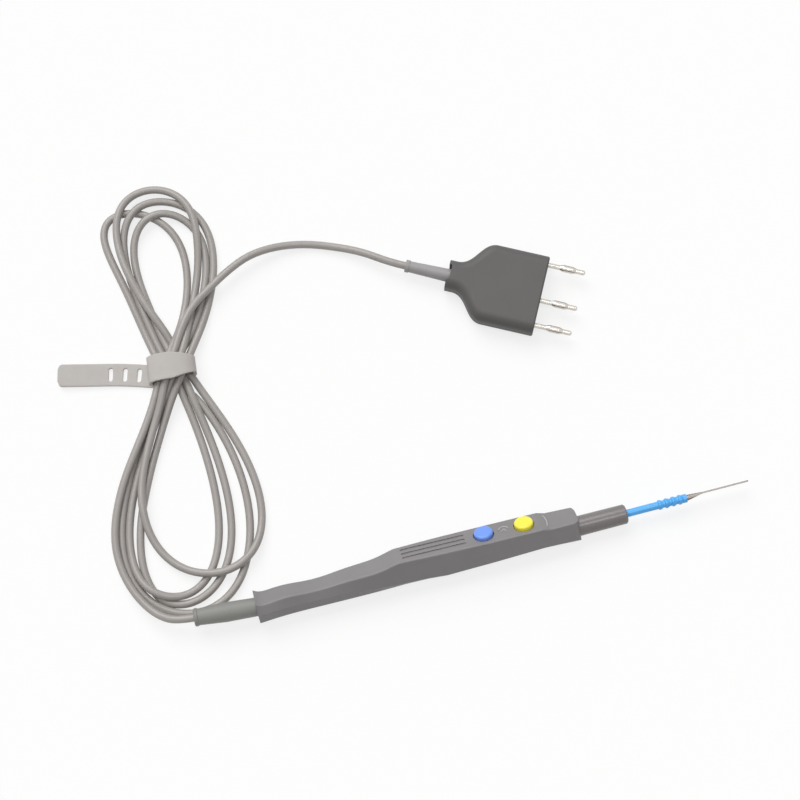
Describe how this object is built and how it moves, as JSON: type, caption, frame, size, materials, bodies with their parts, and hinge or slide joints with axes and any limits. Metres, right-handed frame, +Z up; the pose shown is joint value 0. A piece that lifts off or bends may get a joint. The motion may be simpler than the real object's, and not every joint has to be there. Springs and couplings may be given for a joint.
{
  "type": "electrosurgical pencil",
  "caption": "Slim surgical handpiece with deck buttons, a flat blade electrode in a ribbed sleeve, and a tied cable that ends in a flat plug with bulged contact pins.",
  "frame": {"origin": "bottom centre of the handpiece's own box, from the rear boot to the blade tip, on the floor it lies on", "axes": "+X along the handpiece towards the blade tip, +Z up, +Y away from the picture's viewer towards the plug"},
  "size_m": [0.2632, 0.1913, 0.0157],
  "materials": {
    "housing_grey": "fine moulded texture, satin",
    "cut_yellow": "satin moulded",
    "coag_blue": "satin moulded",
    "spring_steel": "bright stamped",
    "board_green": "solder mask",
    "nose_dark": "semi-gloss moulded",
    "brass": "turned",
    "seal_rubber": "matte",
    "blade_steel": "fine ground",
    "sleeve_blue": "gloss moulded",
    "boot_rubber": "matte",
    "cable_jacket": "satin extruded",
    "core_jacket": "extruded",
    "plug_grey": "fine moulded texture",
    "strap_silicone": "matte moulded",
    "pin_nickel": "bright nickel plate"
  },
  "bodies": {
    "handpiece": {"upper_shell": "housing_grey", "lower_shell": "housing_grey", "cut_dome": "spring_steel", "coag_dome": "spring_steel", "switch_board": "board_green", "nose_sleeve": "nose_dark", "electrode_socket": "brass", "rear_boot": "boot_rubber", "cable_end": "cable_jacket", "cable_clamp": "brass", "active_wire": "core_jacket", "cut_wire": "core_jacket", "coag_wire": "core_jacket", "plug_boot": "boot_rubber", "plug_body": "plug_grey", "plug_cable_end": "cable_jacket", "cable_start": "cable_jacket", "cable_hank": "cable_jacket", "cable_finish": "cable_jacket", "cable_strap": "strap_silicone", "pin_core_1": "pin_nickel", "pin_spring_1": "pin_nickel", "plug_wire_1": "core_jacket", "pin_core_2": "pin_nickel", "pin_spring_2": "pin_nickel", "plug_wire_2": "core_jacket", "pin_core_3": "pin_nickel", "pin_spring_3": "pin_nickel", "plug_wire_3": "core_jacket"},
    "cut_button": {"cut_button": "cut_yellow"},
    "coag_button": {"coag_button": "coag_blue"},
    "electrode_seal": {"electrode_seal": "seal_rubber"},
    "electrode": {"electrode_blade": "blade_steel", "electrode_sleeve": "sleeve_blue"}
  },
  "joints": [
    {"name": "cut_button_press", "type": "slide", "parent": "handpiece", "child": "cut_button", "axis": [0, -0.6428, -0.766], "range_m": [0, 0.0006], "stiffness_N_per_m": 2500, "deforming": ["cut_dome"]},
    {"name": "coag_button_press", "type": "slide", "parent": "handpiece", "child": "coag_button", "axis": [0, -0.6428, -0.766], "range_m": [0, 0.0006], "stiffness_N_per_m": 2500, "deforming": ["coag_dome"]},
    {"name": "electrode_turn", "type": "hinge", "parent": "handpiece", "child": "electrode_seal", "pos_m": [0.05929, -0.00167, 0.00588], "axis": [1, 0, 0], "continuous": true},
    {"name": "electrode_pull", "type": "slide", "parent": "electrode_seal", "child": "electrode", "axis": [1, 0, 0], "range_m": [0, 0.018]}
  ]
}
